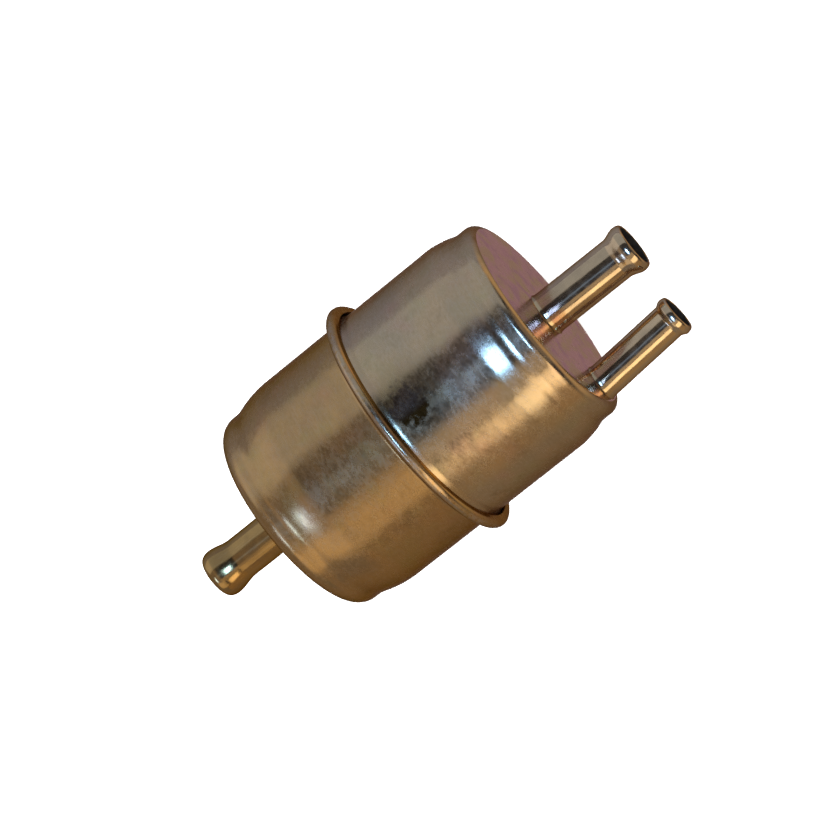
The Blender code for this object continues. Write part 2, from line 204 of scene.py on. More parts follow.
def turned(name, outline, material, steps=FINE, sharp=40, place=None, zone=None):
    """Turns a closed outline of (x, r) points about the X axis, or about the X axis of a placing function.

    zone is (first point, last point, material) for a stretch of the outline with a material of its own.
    """
    verts, faces, indices = [], [], []
    count = len(outline)
    for step in range(steps):
        angle = 2 * math.pi * step / steps
        cosine, sine = math.cos(angle), math.sin(angle)
        for x, r in outline:
            point = Vector((x, r * cosine, r * sine))
            verts.append(place(point) if place else point)
    for step in range(steps):
        here, there = step * count, (step + 1) % steps * count
        for i in range(count):
            j = (i + 1) % count
            if outline[i][1] > 0 or outline[j][1] > 0:
                faces.append((here + i, here + j, there + j, there + i))
                indices.append(int(bool(zone) and zone[0] <= i < zone[1]))
    materials = [material, zone[2]] if zone else [material]
    return add_mesh(name, verts, faces, materials, sharp, indices)


def cut_round_holes(obj, radius, places, segments=TUBE_FINE):
    """Cuts a cylinder between each pair of places out of a mesh and keeps the result as its mesh."""
    bm = bmesh.new()
    for start, end in places:
        turn = (end - start).to_track_quat("Z", "Y").to_matrix().to_4x4()
        bmesh.ops.create_cone(
            bm, cap_ends=True, segments=segments, radius1=radius, radius2=radius,
            depth=(end - start).length, matrix=Matrix.Translation((start + end) / 2) @ turn,
        )
    mesh = bpy.data.meshes.new("tool")
    bm.to_mesh(mesh)
    bm.free()
    tool = bpy.data.objects.new("tool", mesh)
    bpy.context.scene.collection.objects.link(tool)
    modifier = obj.modifiers.new("hole", "BOOLEAN")
    modifier.solver = "EXACT"
    modifier.object = tool
    depsgraph = bpy.context.evaluated_depsgraph_get()
    result = bpy.data.meshes.new_from_object(obj.evaluated_get(depsgraph))
    obj.modifiers.clear()
    obj.data = result
    result.shade_smooth()
    result.set_sharp_from_angle(angle=math.radians(40))
    bpy.data.objects.remove(tool)


def rounded(outline, radius, steps=4):
    """Rounds the corners of a closed outline of (x, r) points, except those on the axis."""
    points = []
    for i, corner in enumerate(outline):
        corner = Vector(corner)
        arms = [Vector(outline[i - 1]) - corner, Vector(outline[(i + 1) % len(outline)]) - corner]
        if corner.y <= 0:
            points.append(tuple(corner))
            continue
        reach = min(radius, 0.45 * arms[0].length, 0.45 * arms[1].length)
        start, end = (corner + arm.normalized() * reach for arm in arms)
        for step in range(steps + 1):
            t = step / steps
            points.append(tuple(start * (1 - t) ** 2 + corner * 2 * t * (1 - t) + end * t**2))
    return points


def swept(name, path, across, radius, material, sides=20):
    """A round wire along a path. across gives, at each point, two directions square to the path."""
    verts, faces = [], []
    for point, (u, v) in zip(path, across):
        for side in range(sides):
            angle = 2 * math.pi * side / sides
            verts.append(point + (u * math.cos(angle) + v * math.sin(angle)) * radius)
    for i in range(len(path) - 1):
        for side in range(sides):
            a, b = i * sides + side, i * sides + (side + 1) % sides
            faces.append((a, b, b + sides, a + sides))
    faces.append(tuple(range(sides)))
    faces.append(tuple(range(len(verts) - sides, len(verts))))
    return add_mesh(name, verts, faces, [material])


def return_place(point):
    """From the return nipple's own axes, with X along it from the end wall, to the object's."""
    lean = math.atan(RETURN_LEAN)
    x = point.x * math.cos(lean) - point.y * math.sin(lean)
    y = point.x * math.sin(lean) + point.y * math.cos(lean)
    return Vector((OUTLET_END_X + x, y - RETURN_OFFSET, point.z))


# ---------------------------------------------------------------- materials


class Graph:
    """One Principled material and short calls that add its nodes. Patterns are in the object's own metres."""

    def __init__(self, name, metallic):
        self.material = bpy.data.materials.new(name)
        self.material.use_nodes = True
        self.tree = self.material.node_tree
        self.shader = self.tree.nodes["Principled BSDF"]
        self.shader.inputs["Metallic"].default_value = metallic
        self.coords = self.add("ShaderNodeTexCoord").outputs["Object"]

    def add(self, kind, **settings):
        node = self.tree.nodes.new(kind)
        for key, value in settings.items():
            setattr(node, key, value)
        return node

    def put(self, socket, value):
        """Links a socket, or sets it to a number or colour."""
        if isinstance(value, bpy.types.NodeSocket):
            self.tree.links.new(value, socket)
        else:
            socket.default_value = value

    def noise(self, size, detail=3.0, roughness=0.5, stretch=(1, 1, 1), shift=0.0):
        """Noise with features of about this size, between 0 and 1."""
        place = self.add("ShaderNodeMapping")
        self.put(place.inputs["Vector"], self.coords)
        place.inputs["Location"].default_value = (shift, -shift, shift)
        place.inputs["Scale"].default_value = [1 / (size * s) for s in stretch]
        node = self.add("ShaderNodeTexNoise")
        self.put(node.inputs["Vector"], place.outputs[0])
        node.inputs["Scale"].default_value = 1.0
        node.inputs["Detail"].default_value = detail
        node.inputs["Roughness"].default_value = roughness
        return node.outputs["Fac"]

    def cells(self, size, shift=0.0):
        """Distance to the middle of cells of about this size."""
        place = self.add("ShaderNodeMapping")
        self.put(place.inputs["Vector"], self.coords)
        place.inputs["Location"].default_value = (shift, shift, -shift)
        place.inputs["Scale"].default_value = [1 / size] * 3
        node = self.add("ShaderNodeTexVoronoi")
        self.put(node.inputs["Vector"], place.outputs[0])
        node.inputs["Scale"].default_value = 1.0
        return node.outputs["Distance"]

    def level(self, source, low, high, out_low=0.0, out_high=1.0):
        """Stretches a value smoothly from low..high to out_low..out_high."""
        node = self.add("ShaderNodeMapRange", interpolation_type="SMOOTHSTEP")
        self.put(node.inputs["Value"], source)
        node.inputs["From Min"].default_value = low
        node.inputs["From Max"].default_value = high
        self.put(node.inputs["To Min"], out_low)
        self.put(node.inputs["To Max"], out_high)
        return node.outputs["Result"]

    def math(self, operation, a, b=0.0):
        node = self.add("ShaderNodeMath", operation=operation)
        self.put(node.inputs[0], a)
        self.put(node.inputs[1], b)
        return node.outputs[0]

    def mix(self, factor, a, b):
        node = self.add("ShaderNodeMix", data_type="RGBA")
        self.put(node.inputs["Factor"], factor)
        self.put(node.inputs["A"], a)
        self.put(node.inputs["B"], b)
        return node.outputs["Result"]

    def axes(self):
        node = self.add("ShaderNodeSeparateXYZ")
        self.put(node.inputs[0], self.coords)
        return node.outputs

    def from_axis(self):
        """Distance from the X axis."""
        x, y, z = self.axes()
        return self.math("SQRT", self.math("ADD", self.math("MULTIPLY", y, y), self.math("MULTIPLY", z, z)))

    def bump(self, height, strength, distance, under=None):
        node = self.add("ShaderNodeBump")
        node.inputs["Strength"].default_value = strength
        node.inputs["Distance"].default_value = distance
        self.put(node.inputs["Height"], height)
        if under:
            self.put(node.inputs["Normal"], under)
        return node.outputs[0]

    def done(self, colour, roughness, normal=None):
        self.put(self.shader.inputs["Base Color"], colour)
        self.put(self.shader.inputs["Roughness"], roughness)
        if normal:
            self.put(self.shader.inputs["Normal"], normal)
        return self.material


def rgb(r, g, b):
    return (r, g, b, 1.0)


def tint(colour, r, g, b):
    """The colour with each channel multiplied."""
    return rgb(colour[0] * r, colour[1] * g, colour[2] * b)


def chromate(name, gold, olive, pale, rough, shift, smudged=False):
    """Yellow chromate on drawn sheet: clouds of hue, a zinc grain, draw lines, stains and a rubbed edge."""
    g = Graph(name, 1.0)
    colour = g.mix(g.level(g.noise(14 * MM, 3, shift=shift), 0.35, 0.68), gold, olive)
    rose = g.level(g.noise(9 * MM, 3, shift=shift + 21), 0.5, 0.75, 0.0, 0.45)
    colour = g.mix(rose, colour, tint(gold, 1.0, 0.86, 1.05))
    green = g.level(g.noise(8 * MM, 3, shift=shift + 31), 0.5, 0.75, 0.0, 0.5)
    colour = g.mix(green, colour, tint(gold, 0.84, 1.0, 0.92))
    stains = g.level(g.noise(5 * MM, 3, 0.5, shift=shift + 3), 0.55, 0.8, 0.0, 0.3)
    colour = g.mix(stains, colour, tint(olive, 0.6, 0.52, 0.4))
    grain = g.noise(0.55 * MM, 3, 0.5, stretch=(1, 2.0, 2.0), shift=shift + 7)
    colour = g.mix(g.level(grain, 0.5, 0.3, 0.0, 0.13), colour, tint(olive, 0.62, 0.6, 0.58))
    colour = g.mix(g.level(grain, 0.45, 0.7, 0.0, 0.13), colour, pale)
    lines = g.noise(0.35 * MM, 2, stretch=(1, 60, 60), shift=shift + 11)
    colour = g.mix(g.level(lines, 0.5, 0.8, 0.0, 0.12), colour, pale)
    rubbed = g.level(g.from_axis(), SEAM_R - RUBBED_DEPTH, SEAM_R, 0.0, 0.6)
    colour = g.mix(g.math("MULTIPLY", rubbed, g.level(grain, 0.3, 0.6)), colour, pale)
    roughness = g.level(g.noise(3 * MM, 2, shift=shift + 13), 0.3, 0.7, rough[0], rough[1])
    roughness = g.math("ADD", roughness, g.level(grain, 0.3, 0.7, -0.03, 0.035))
    if smudged:
        halo, core = smudge_masks(g)
        colour = g.mix(g.math("MULTIPLY", halo, 0.55), colour, tint(olive, 0.62, 0.62, 0.45))
        paler = g.level(g.axes()[1], 0.8 * MM, 3.5 * MM)
        soot = g.mix(paler, rgb(0.065, 0.033, 0.008), rgb(0.20, 0.15, 0.11))
        colour = g.mix(core, colour, soot)
    waves = g.noise(5 * MM, 2, stretch=(1.0, 1.6, 1.6), shift=shift + 17)
    normal = g.bump(waves, 0.35, 0.25 * MM)
    normal = g.bump(grain, 0.25, 0.01 * MM, normal)
    normal = g.bump(lines, 0.12, 0.01 * MM, normal)
    g.shader.inputs["Specular Tint"].default_value = rgb(0.42, 0.33, 0.24)
    return g.done(colour, roughness, normal)


def face_chromate():
    """The flat end wall, where the film is thicker and shows rose with streaks of green and violet."""
    g = Graph("end_wall_plating", 1.0)
    rose = rgb(0.82, 0.64, 0.64)
    streaks = g.noise(4 * MM, 4, 0.6, stretch=(1, 1, 2.2), shift=41)
    colour = g.mix(g.level(streaks, 0.42, 0.62), rose, tint(rose, 0.90, 1.10, 0.66))
    violet = g.level(g.noise(5 * MM, 3, shift=47), 0.48, 0.68, 0.0, 0.8)
    colour = g.mix(violet, colour, tint(rose, 0.80, 0.76, 0.96))
    specks = g.level(g.noise(1.1 * MM, 4, shift=51), 0.5, 0.75, 0.0, 0.25)
    colour = g.mix(specks, colour, tint(rose, 0.6, 0.55, 0.5))
    spangle = g.noise(1.3 * MM, 4, 0.55, shift=53)
    normal = g.bump(g.noise(6 * MM, 2, shift=57), 0.25, 0.2 * MM)
    normal = g.bump(spangle, 0.3, 0.02 * MM, normal)
    g.shader.inputs["Specular Tint"].default_value = rgb(0.85, 0.66, 0.66)
    return g.done(colour, g.level(spangle, 0.3, 0.7, 0.20, 0.28), normal)


def smudge_masks(g):
    """A brown stain on top of the outlet cup, beside the seam: its soft surround, and its ragged core."""
    x, y, z = g.axes()
    along = g.math("DIVIDE", g.math("SUBTRACT", x, SMUDGE_X), SMUDGE_LENGTH)
    across = g.math("DIVIDE", g.math("SUBTRACT", y, SMUDGE_Y), SMUDGE_WIDTH)
    far = g.math("SQRT", g.math("ADD", g.math("MULTIPLY", along, along), g.math("MULTIPLY", across, across)))
    ragged = g.math("ADD", far, g.level(g.noise(1.6 * MM, 4, 0.6, shift=5), 0.2, 0.8, -0.5, 0.5))
    on_top = g.level(z, 0.0, BODY_R / 2)
    core = g.math("MULTIPLY", g.level(ragged, 1.2, 0.5), on_top)
    halo = g.math("MULTIPLY", g.level(far, 2.4, 0.9), on_top)
    return halo, core


def tube_chromate(name, gold, shift, rough=(0.10, 0.19)):
    """The same plating on drawn tube: glossier, with lines along the tube."""
    g = Graph(name, 1.0)
    clouds = g.level(g.noise(6 * MM, 4, shift=shift), 0.38, 0.66)
    colour = g.mix(clouds, gold, tint(gold, 0.82, 0.82, 0.86))
    drawn = g.noise(0.25 * MM, 2, stretch=(40, 1, 1), shift=shift + 5)
    colour = g.mix(g.level(drawn, 0.5, 0.8, 0.0, 0.12), colour, rgb(0.75, 0.68, 0.55))
    roughness = g.level(g.noise(2 * MM, 4, 0.6, shift=shift + 9), 0.3, 0.7, rough[0], rough[1])
    waves = g.noise(3 * MM, 2, stretch=(2.0, 1.0, 1.0), shift=shift + 13)
    normal = g.bump(waves, 0.35, 0.15 * MM)
    normal = g.bump(drawn, 0.10, 0.01 * MM, normal)
    g.shader.inputs["Specular Tint"].default_value = rgb(0.45, 0.35, 0.25)
    return g.done(colour, roughness, normal)


def painted_bore_shade():
    """The unplated inside of the tubes, dulled; its near-black colour is painted shade for the deep bores."""
    g = Graph("painted_shade_bore", 0.0)
    patches = g.level(g.noise(1.5 * MM, 4, shift=60), 0.35, 0.7)
    # Painted shade: the near-black colour and its patches stand in for the shade deep inside the bores.
    colour = g.mix(patches, rgb(0.004, 0.003, 0.003), rgb(0.010, 0.008, 0.006))
    g.shader.inputs["Specular IOR Level"].default_value = 0.1
    normal = g.bump(g.noise(0.5 * MM, 3, shift=61), 0.3, 0.03 * MM)
    return g.done(colour, g.level(g.noise(1 * MM, 3, shift=62), 0.3, 0.7, 0.6, 0.85), normal)


def plain_metal(name, colour, rough, shift, stretch=(1, 12, 12)):
    """Bare metal with rolling or drawing lines, clouds of oxide and fine scratches."""
    g = Graph(name, 1.0)
    clouds = g.level(g.noise(5 * MM, 4, 0.6, shift=shift), 0.4, 0.7)
    shade = g.mix(clouds, colour, tint(colour, 0.78, 0.76, 0.72))
    lines = g.noise(0.3 * MM, 3, stretch=stretch, shift=shift + 3)
    shade = g.mix(g.level(lines, 0.5, 0.8, 0.0, 0.3), shade, tint(colour, 1.2, 1.2, 1.2))
    spots = g.level(g.noise(0.9 * MM, 5, 0.7, shift=shift + 5), 0.62, 0.8, 0.0, 0.5)
    shade = g.mix(spots, shade, tint(colour, 0.5, 0.38, 0.28))
    roughness = g.level(g.noise(1.5 * MM, 4, shift=shift + 9), 0.3, 0.7, rough[0], rough[1])
    return g.done(shade, roughness, g.bump(lines, 0.25, 0.02 * MM))


def soft_material(name, colour, other, size, rough, depth, shift, specks=0.0):
    """Paper, rubber or compound: two shades in clouds, a fine grain in the surface, and specks."""
    g = Graph(name, 0.0)
    shade = g.mix(g.level(g.noise(8 * size, 4, 0.6, shift=shift), 0.35, 0.68), colour, other)
    grain = g.noise(size, 5, 0.65, stretch=(1, 1.4, 0.8), shift=shift + 3)
    shade = g.mix(g.level(grain, 0.5, 0.75, 0.0, 0.35), shade, tint(colour, 0.72, 0.7, 0.66))
    if specks:
        dots = g.level(g.cells(3 * size, shift), 0.16, 0.05, 0.0, specks)
        shade = g.mix(dots, shade, tint(other, 1.6, 1.6, 1.6))
    roughness = g.level(g.noise(3 * size, 3, shift=shift + 7), 0.3, 0.7, rough[0], rough[1])
    return g.done(shade, roughness, g.bump(grain, 0.5, depth))


outlet_plating = chromate(
    "outlet_cup_plating", rgb(0.64, 0.47, 0.29), rgb(0.54, 0.43, 0.29), rgb(0.66, 0.61, 0.55),
    (0.20, 0.28), 0, smudged=True,
)
inlet_plating = chromate(
    "inlet_cup_plating", rgb(0.57, 0.36, 0.155), rgb(0.50, 0.33, 0.165), rgb(0.57, 0.48, 0.38),
    (0.21, 0.30), 40,
)
face_plating = face_chromate()
tube_plating = tube_chromate("nipple_plating", rgb(0.68, 0.52, 0.33), 80)
braze_metal = tube_chromate("braze_plating", rgb(0.60, 0.46, 0.28), 120)
brown_plating = tube_chromate("inlet_nipple_plating", rgb(0.50, 0.32, 0.125), 160, (0.14, 0.22))
# Near-black painted shade for the insides of the tubes.
bore_shade_paint = painted_bore_shade()
steel = plain_metal("bright_steel", rgb(0.55, 0.54, 0.52), (0.24, 0.42), 200)
wire_steel = plain_metal("spring_wire_steel", rgb(0.26, 0.26, 0.28), (0.22, 0.38), 220)
brass = plain_metal("turned_brass", rgb(0.72, 0.52, 0.22), (0.16, 0.30), 240)
paper = soft_material(
    "resin_paper", rgb(0.78, 0.66, 0.43), rgb(0.70, 0.56, 0.33), 0.25 * MM, (0.82, 0.95), 0.05 * MM, 260
)
plastisol = soft_material(
    "red_plastisol", rgb(0.50, 0.10, 0.06), rgb(0.42, 0.07, 0.04), 0.5 * MM, (0.42, 0.62), 0.04 * MM, 280, 0.4
)
rubber = soft_material(
    "black_nitrile", rgb(0.022, 0.022, 0.024), rgb(0.030, 0.029, 0.028), 0.2 * MM, (0.5, 0.7),
    0.02 * MM, 300, 0.3,
)
compound = soft_material(
    "seam_compound_grey", rgb(0.20, 0.20, 0.21), rgb(0.15, 0.15, 0.16), 0.4 * MM, (0.62, 0.8),
    0.04 * MM, 320, 0.3,
)


# ---------------------------------------------------------------- outside pieces


def inlet_cup():
    """The inlet cup with its rolled hem."""
    band, corner, end = INLET_BAND_R, INLET_CORNER_R, INLET_END_X
    hem_r = (HEM_END_X - HEM_START_X) / 2
    hem_mid = (HEM_END_X + HEM_START_X) / 2
    outside = [(end, MAIN_R + TUBE_CLEARANCE)]
    outside += arc(end + corner, band - corner, corner, 180, 90, 24)
    outside += shoulder(*INLET_SHOULDER_X, band)
    outside += arc(HEM_START_X - INLET_FILLET_R, BODY_R + INLET_FILLET_R, INLET_FILLET_R, -90, -4, 12)
    outside += arc(hem_mid, SEAM_R - hem_r, hem_r, 176, 0, 28)
    outside += [(HEM_END_X, HEM_EDGE_R)]
    return turned("drawn_inlet_cup", sheet_outline(outside, WALL), inlet_plating)


def outlet_cup():
    """The outlet cup, whose flange stands inside the hem."""
    band, corner, end = OUTLET_BAND_R, OUTLET_CORNER_R, OUTLET_END_X
    fillet = OUTLET_FILLET_X - FLANGE_FRONT_X
    rise = OUTLET_FILLET_TOP_R - BODY_R
    outside = [(end, MAIN_R + TUBE_CLEARANCE)]
    outside += arc(end - corner, band - corner, corner, 0, 90, 20)
    outside += stepped_shoulder(OUTLET_SHOULDER, band)
    outside += arc(OUTLET_FILLET_X, OUTLET_FILLET_TOP_R, fillet, 270, 180, 18, rise / fillet)
    outside += [(FLANGE_FRONT_X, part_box("outlet_shell")[1].z)]
    end_wall = (0, 3, face_plating)  # the flat end, and the first part of the corner
    cup = turned("drawn_outlet_cup", sheet_outline(outside, WALL, -1), outlet_plating, zone=end_wall)
    reach = 4 * MM  # of the drill on each side of the end wall
    drill = [return_place(Vector((x, 0, 0))) for x in (-reach, reach)]
    cut_round_holes(cup, RETURN_R + TUBE_CLEARANCE, [drill])
    return cup


def nipple_outline(start, tip, radius, bore, flare, flare_shape):
    """A tube along +X whose end swells to a flare and is rounded over to a narrow flat ring.

    Also gives the number of points that are outside.
    """
    flare_length, lip, fall = flare_shape
    outer_steps, inner_steps = 16, 10
    edge = 0.12 * MM  # bevel of the bore's rim
    lead = 0.3 * MM  # by which the swell inside is longer
    wall = radius - bore
    lip_start = tip - lip
    swell = lip_start - flare_length
    mouth = flare - wall - fall
    ring = mouth + TIP_FLAT
    outside = [(start, radius)]
    for i in range(outer_steps + 1):
        t = i / outer_steps
        outside.append((swell + flare_length * t, radius + (flare - radius) * t * t * (3 - 2 * t)))
    outside += arc(lip_start, ring, lip, 90, 0, outer_steps, (flare - ring) / lip)[1:]
    outside += [(tip, mouth + edge)]
    inside = [(tip - edge, mouth)]
    for i in range(inner_steps + 1):
        t = 1 - i / inner_steps
        inside.append((swell + (flare_length + lead) * t, bore + (mouth - bore) * t * t * (3 - 2 * t)))
    return outside + inside + [(start, bore)], len(outside)


def nipples():
    """The three nipples, drawn tubes that each end in a flare."""
    inlet, turn = nipple_outline(-INLET_ROOT_X, TIP_X, MAIN_R, MAIN_BORE_R, MAIN_FLARE_R, INLET_FLARE)
    inlet = [(-x, r) for x, r in inlet]
    outlet, _ = nipple_outline(SPIGOT_X, TIP_X, MAIN_R, MAIN_BORE_R, MAIN_FLARE_R, OUTLET_FLARE)
    back, _ = nipple_outline(
        RETURN_ROOT, RETURN_LENGTH, RETURN_R, RETURN_BORE_R, RETURN_FLARE_R, RETURN_FLARE
    )
    made = {}
    for node, name, outline, place, plating in (
        ("inlet_nipple", "inlet_tube", inlet, None, brown_plating),
        ("outlet_nipple", "outlet_tube", outlet, None, tube_plating),
        ("return_nipple", "return_tube", back, return_place, tube_plating),
    ):
        # The bore's faces get the near-black painted shade material.
        made[node] = turned(
            name, outline, plating, TUBE_FINE, place=place, zone=(turn, len(outline) - 1, bore_shade_paint)
        )
    return made


def braze_fillet(name, radius, direction, place=None):
    """A hollow fillet of filler metal between a nipple and the end wall."""
    width, height = 0.28 * MM, 1.2 * MM
    base, inner, steps = -0.02 * MM, radius - 0.05 * MM, 10
    outline = [(base, inner), (base, radius + width)]
    for i in range(steps + 1):
        angle = math.pi / 2 * i / steps
        outline.append((height * (1 - math.cos(angle)), radius + width * (1 - math.sin(angle))))
    outline.append((height, inner))
    flat = [(direction * x, r) for x, r in outline]
    return turned(name, flat, braze_metal, TUBE_FINE, 60, place)


def on_inlet_face(point):
    return Vector((INLET_END_X, 0, 0)) + point


def on_outlet_face(point):
    return Vector((OUTLET_END_X, 0, 0)) + point


def on_leaning_root(point):
    """Keeps a ring round the leaning tube flat on the end wall: x stays the height above the wall."""
    lean = math.atan(RETURN_LEAN)
    across = Vector((-math.sin(lean), math.cos(lean), 0)) * point.y + Vector((0, 0, 1)) * point.z
    along = (point.x - across.x) / math.cos(lean)
    spot = across + Vector((math.cos(lean), math.sin(lean), 0)) * along
    return Vector((OUTLET_END_X, -RETURN_OFFSET, 0)) + spot


def outside_pieces():
    """Makes the pieces that show, all fixed to the can."""
    pieces = nipples()
    pieces["inlet_shell"] = inlet_cup()
    pieces["outlet_shell"] = outlet_cup()
    pieces["inlet_nipple_braze"] = braze_fillet("inlet_braze_fillet", MAIN_R, -1, on_inlet_face)
    pieces["outlet_nipple_braze"] = braze_fillet("outlet_braze_fillet", MAIN_R, 1, on_outlet_face)
    pieces["return_nipple_braze"] = braze_fillet("return_braze_fillet", RETURN_R, 1, on_leaning_root)
    for node, piece in pieces.items():
        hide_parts(node)
        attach(piece, "can")


outside_pieces()


# ---------------------------------------------------------------- inside pieces


def round_box(node):
    """A turned node's low x, high x and greatest radius."""
    low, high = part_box(node)
    return low.x, high.x, high.z


def closed_shape(name, node, inner, material, radius, steps=TUBE_FINE):
    """A ring or disc with this inner radius and rounded edges, in the box of its node."""
    low, high, outer = round_box(node)
    outline = [(low, inner), (low, outer), (high, outer), (high, inner)]
    return turned(name, rounded(outline, radius), material, steps)


def inlet_cap():
    """The closed cap: a dished cup with a pressed boss that centres the spring."""
    low, high, outer = round_box("inlet_end_cap")
    boss, boss_r, slant = 1.5 * MM, 8.0 * MM, 0.8 * MM
    wall = CAP_WALL
    outline = [
        (low, 0), (low, boss_r - slant), (low + boss, boss_r), (low + boss, outer), (high, outer),
        (high, outer - wall), (low + boss + wall, outer - wall), (low + boss + wall, boss_r - wall / 2),
        (low + wall, boss_r - slant - wall / 2), (low + wall, 0),
    ]
    return turned("pressed_inlet_cap", rounded(outline, 1.0 * MM), steel)


def outlet_cap():
    """The open cap, with a collar that holds the grommet."""
    low, high, outer = round_box("outlet_end_cap")
    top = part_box("outlet_grommet")[0].x - GAP
    base, wall = top - CAP_WALL, CAP_WALL
    bore, collar = CORE_BORE_R, COLLAR_R
    outline = [
        (base, bore), (top, bore), (top, collar), (high, collar), (high, collar + wall), (top, collar + wall),
        (top, outer), (low, outer), (low, outer - wall), (base, outer - wall),
    ]
    return turned("pressed_outlet_cap", rounded(outline, 0.8 * MM), steel)


def folded_paper():
    """The paper sleeve: pleats with round folds and small dimples that keep the flanks apart."""
    low, high, outer = round_box("pleated_media")
    inner, stations = 8.5 * MM, 24
    fold_out, fold_in, turn_steps = 0.62 * MM, 0.42 * MM, 6
    dimple, dimple_reach = 0.08 * MM, 3 * MM

    def sleeve_line(side):
        """The folded line, offset half the paper's thickness to one side."""
        points = []
        shift = side * PAPER / 2
        for pleat in range(PLEATS):
            for ray, radius, tip, sign in (
                (pleat, outer - PAPER / 2 - fold_out, fold_out + shift, 1),
                (pleat + 0.5, inner + PAPER / 2 + fold_in, fold_in - shift, -1),
            ):
                angle = 2 * math.pi * ray / PLEATS
                out = Vector((0, math.cos(angle), math.sin(angle)))
                over = Vector((0, -math.sin(angle), math.cos(angle)))
                for step in range(turn_steps + 1):
                    bend = math.pi * (step / turn_steps - 0.5)
                    points.append(out * (radius + sign * tip * math.cos(bend)) + over * tip * math.sin(bend))
        return points

    outside, inside = sleeve_line(1), sleeve_line(-1)
    count = len(outside)
    verts, faces = [], []
    for line in (outside, inside):
        for station in range(stations + 1):
            x = low + (high - low) * station / stations
            for point in line:
                reach = math.hypot(point.y, point.z)
                middle = max(0.0, 1 - abs(reach - (inner + outer) / 2) / dimple_reach)
                ripple = dimple * middle * math.sin(math.pi * station / 2)
                over = Vector((0, -point.z, point.y)) / reach
                verts.append(Vector((x, point.y, point.z)) + over * ripple)
    layer = (stations + 1) * count
    for base in (0, layer):
        for station in range(stations):
            for i in range(count):
                a, b = base + station * count + i, base + station * count + (i + 1) % count
                faces.append((a, b, b + count, a + count))
    for end in (0, stations * count):
        for i in range(count):
            a, b = end + i, end + (i + 1) % count
            faces.append((a, b, b + layer, a + layer))
    return add_mesh("folded_paper", verts, faces, [paper], 50)


def quarter_steps(steps=6):
    """Angles that run through a quarter turn."""
    return [math.pi / 2 * i / steps for i in range(steps + 1)]


def seam_channel():
    """The channel crimped over the fold where the paper's two ends meet, with a row of crimp dents."""
    low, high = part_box("media_seam_clip")
    wall, stations = 0.4 * MM, 60
    dents, dent_depth = 7, 0.12 * MM
    half, foot, top = high.z, low.y, high.y
    corner = 0.5 * MM
    outer_line = [(foot, half)] + [
        (top - corner + corner * math.sin(t), half - corner + corner * math.cos(t)) for t in quarter_steps()
    ]
    outer_line += [(y, -z) for y, z in outer_line[::-1]]
    inner_line = [
        (min(y, top - wall), math.copysign(abs(z) - wall if abs(z) > wall else abs(z), z))
        for y, z in outer_line
    ]
    section = outer_line + inner_line[::-1]
    verts, faces = [], []
    for station in range(stations + 1):
        x = low.x + (high.x - low.x) * station / stations
        dent = dent_depth * max(0.0, math.sin(2 * math.pi * dents * station / stations)) ** 2
        for y, z in section:
            squeeze = dent * (top - y) / (top - foot)
            verts.append(Vector((x, y, z - math.copysign(squeeze, z))))
    count = len(section)
    for station in range(stations):
        for i in range(count):
            a, b = station * count + i, station * count + (i + 1) % count
            faces.append((a, b, b + count, a + count))
    faces += [tuple(range(count)), tuple(range(stations * count, (stations + 1) * count))]
    return add_mesh("crimped_seam_channel", verts, faces, [steel])


def perforated_core():
    """The perforated core tube."""
    low, high, outer = round_box("centre_tube")
    inner, hole, rows, across = CORE_BORE_R, 1.8 * MM, 5, 6
    first_turn = math.radians(7.5)
    outline = [(low, inner), (low, outer), (high, outer), (high, inner)]
    tube = turned("perforated_core", outline, steel, TUBE_FINE)
    places = []
    for row in range(rows):
        x = low + (high - low) * (row + 0.5) / rows
        for turn in range(across):
            angle = 2 * math.pi * (turn + 0.5 * (row % 2)) / across + first_turn
            out = Vector((0, math.cos(angle), math.sin(angle)))
            places.append([Vector((x, 0, 0)) + out * reach for reach in (inner - GAP, outer + GAP)])
    cut_round_holes(tube, hole, places, 24)
    return tube


def grommet():
    """The rubber seal: two soft ribs inside, and a flange that meets the end wall."""
    low, high, outer = round_box("outlet_grommet")
    inner, sleeve, flange = MAIN_R + GAP, COLLAR_R - GAP, 1.65 * MM
    rib, steps = 0.15 * MM, 24
    bore = []
    for i in range(steps + 1):
        t = i / steps
        bore.append((high + (low - high) * t, inner + rib * math.cos(2 * math.pi * t) ** 2))
    corners = [
        (low, inner), (low, sleeve), (high - flange, sleeve), (high - flange, outer), (high, outer),
        (high, inner),
    ]
    corner_steps = 4
    outline = rounded(corners, 0.3 * MM, corner_steps)
    points = corner_steps + 1  # of each corner on the bore, which the ribs replace
    return turned("spigot_grommet", outline[points:-points] + bore, rubber)


def washer():
    """The washer under the spring, with a drawn lip that keeps the first coil centred."""
    low, high, outer = round_box("spring_seat")
    top = low + CAP_WALL
    inner, lip_in, lip_out = 5.4 * MM, 7.4 * MM, 8.0 * MM
    outline = [
        (low, inner), (low, outer), (top, outer), (top, lip_out), (high, lip_out), (high, lip_in),
        (top, lip_in), (top, inner),
    ]
    return turned("lipped_washer", rounded(outline, 0.25 * MM), steel)


def jet():
    """The restrictor pressed into the return nipple's inner end."""
    outer, hole, mouth = RETURN_BORE_R - GAP, 0.8 * MM, 1.6 * MM
    start, step, end = JET_X
    outline = [(start, hole), (start, outer), (end, outer), (end, mouth), (step, hole)]
    return turned("brass_jet", rounded(outline, 0.15 * MM), brass, TUBE_FINE, place=return_place)


